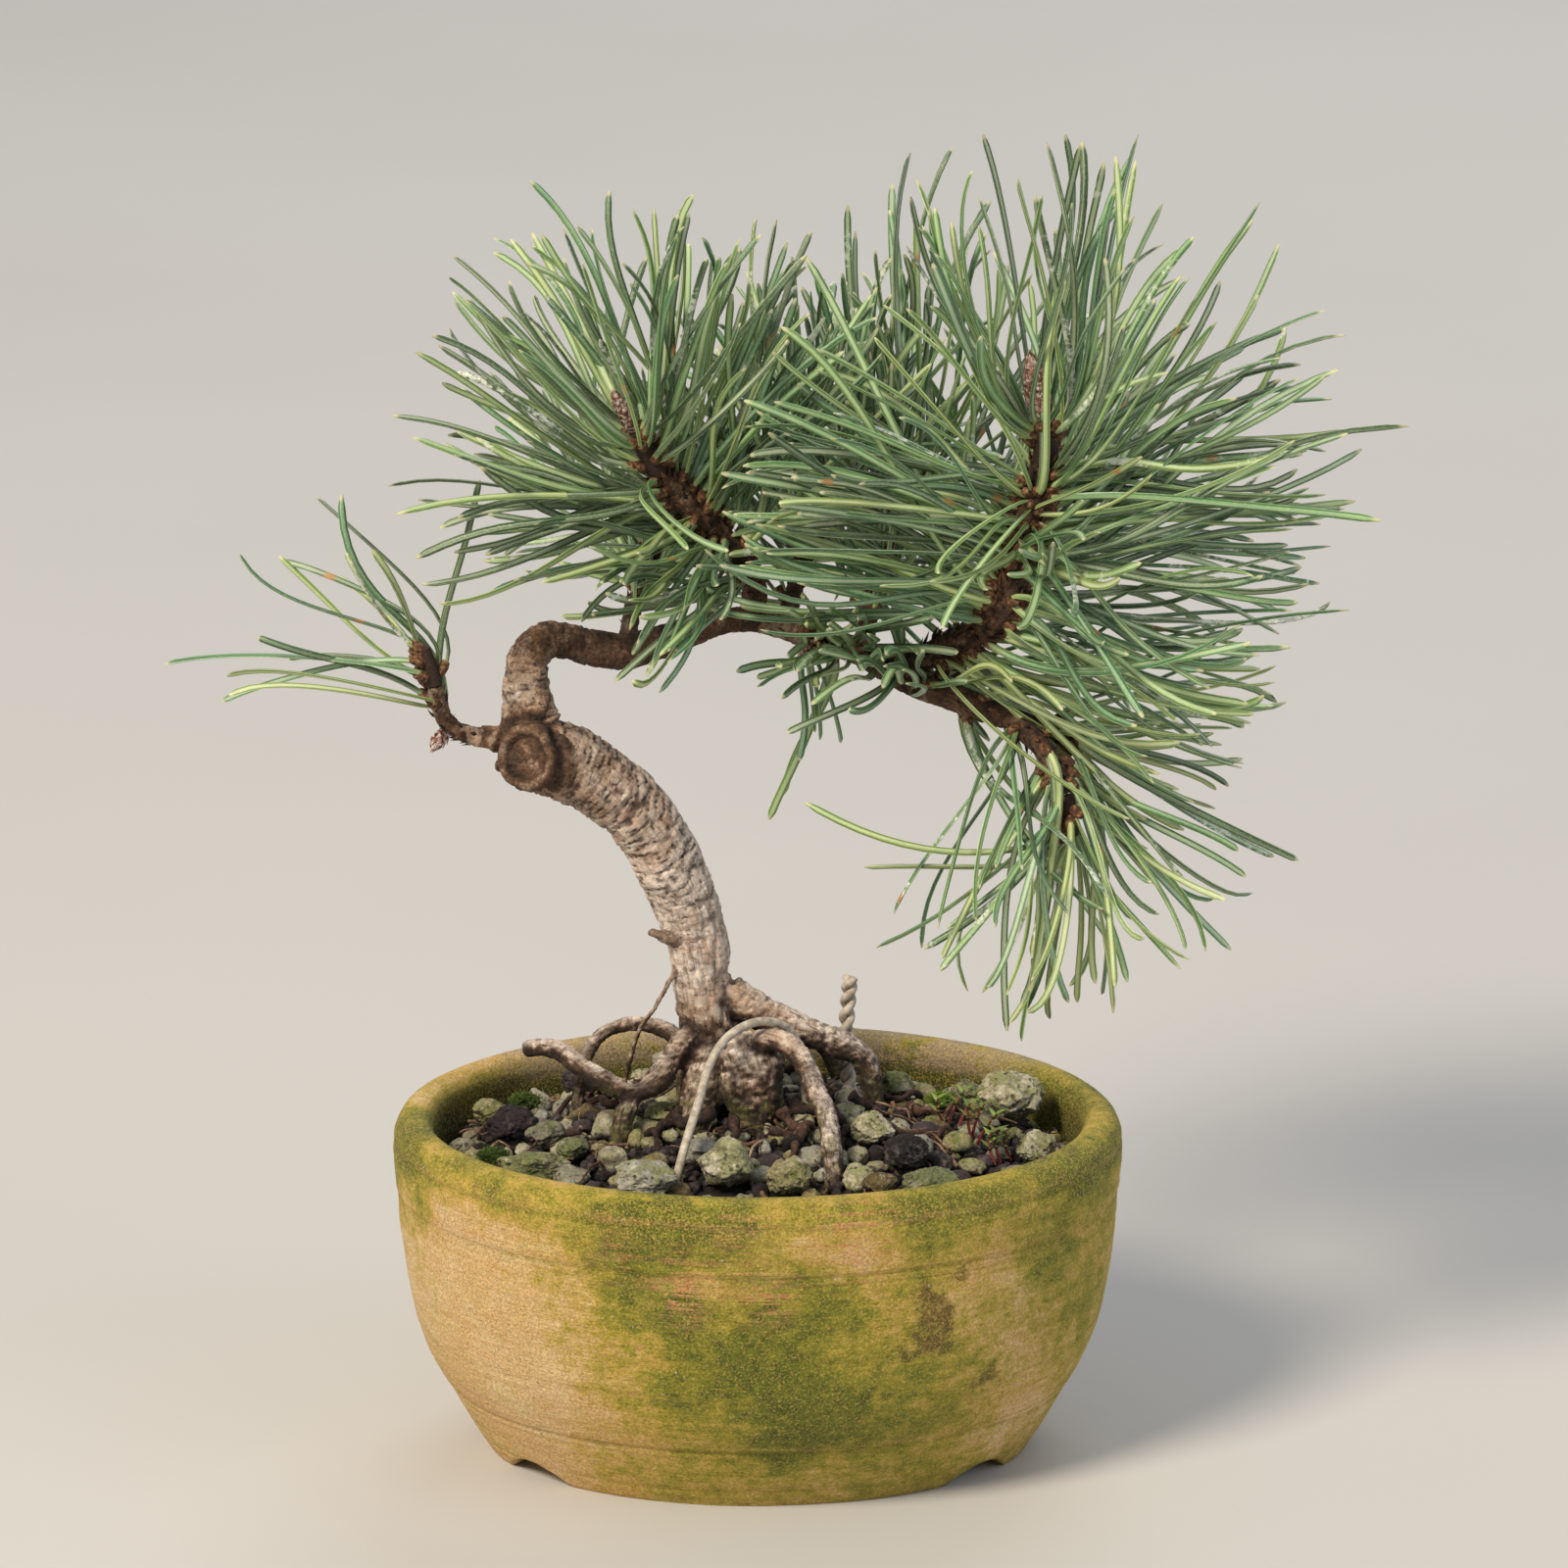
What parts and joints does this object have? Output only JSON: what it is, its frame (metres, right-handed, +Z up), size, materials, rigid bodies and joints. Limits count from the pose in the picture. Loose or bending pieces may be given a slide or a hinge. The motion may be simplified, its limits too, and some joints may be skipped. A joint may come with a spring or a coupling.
{
  "type": "potted pine bonsai",
  "caption": "Pine bonsai with a leaning trunk, bent leader and long paired needles, tied down in a low oval unglazed pot with foot notches.",
  "frame": {"origin": "middle of the whole tree's outline on the surface the pot stands on, which is also the centre of the pot's foot", "axes": "+Z up, +X to the right along the pot's long side with the tree's front towards -Y, +Y to the back"},
  "size_m": [0.2092, 0.1421, 0.2324],
  "materials": {
    "terracotta": "unglazed, stained green by algae, rough",
    "potting_grit": "coarse dark grit, damp",
    "bark": "wrinkled, scaly bark",
    "needle": "waxy green needles, pale at the edges",
    "bud_scale": "papery brown scales with white resin",
    "pumice": "pitted pale pumice",
    "lava": "pitted dark lava",
    "grit_stone": "mottled grit",
    "moss": "soft matte moss",
    "coated_wire": "cream plastic coating",
    "mesh_plastic": "black moulded mesh",
    "clip_wire": "dull bare wire"
  },
  "bodies": {
    "root": {"anchor_wire": "coated_wire", "bud_left_crown": "bud_scale", "bud_middle": "bud_scale", "bud_right_crown": "bud_scale", "bud_side_twig": "bud_scale", "drainage_mesh_left": "mesh_plastic", "drainage_mesh_right": "mesh_plastic", "lava_back_left": "lava", "lava_back_right": "lava", "lava_left": "lava", "lava_right": "lava", "mesh_clip_left": "clip_wire", "mesh_clip_right": "clip_wire", "moss_back": "moss", "moss_left": "moss", "moss_right": "moss", "pot": "terracotta", "pumice_back": "pumice", "pumice_back_left": "pumice", "pumice_cream_front": "pumice", "pumice_cream_right": "pumice", "pumice_large": "pumice", "pumice_pale_right": "pumice", "pumice_white_front": "pumice", "shoot_back_right": "needle", "shoot_back_twig": "needle", "shoot_droop_right": "needle", "shoot_droop_tip": "needle", "shoot_left_crown_front": "needle", "shoot_left_crown_left": "needle", "shoot_left_crown_right": "needle", "shoot_left_crown_tip": "needle", "shoot_middle_left": "needle", "shoot_middle_right": "needle", "shoot_right_crown_front": "needle", "shoot_right_crown_left": "needle", "shoot_right_crown_low": "needle", "shoot_right_crown_right": "needle", "shoot_right_crown_tip": "needle", "shoot_side_twig": "needle", "shoot_under_branch": "needle", "soil_bed": "potting_grit", "stone_brown_front": "grit_stone", "stone_green_front": "grit_stone", "stone_grey_back": "grit_stone", "stone_lavender": "grit_stone", "stone_moss_right": "grit_stone", "stone_mottled_left": "grit_stone", "stone_olive": "grit_stone", "stone_yellow": "grit_stone", "stone_yellow_left": "grit_stone", "tie_down_wire": "coated_wire", "tree_wood": "bark"}
  },
  "joints": []
}
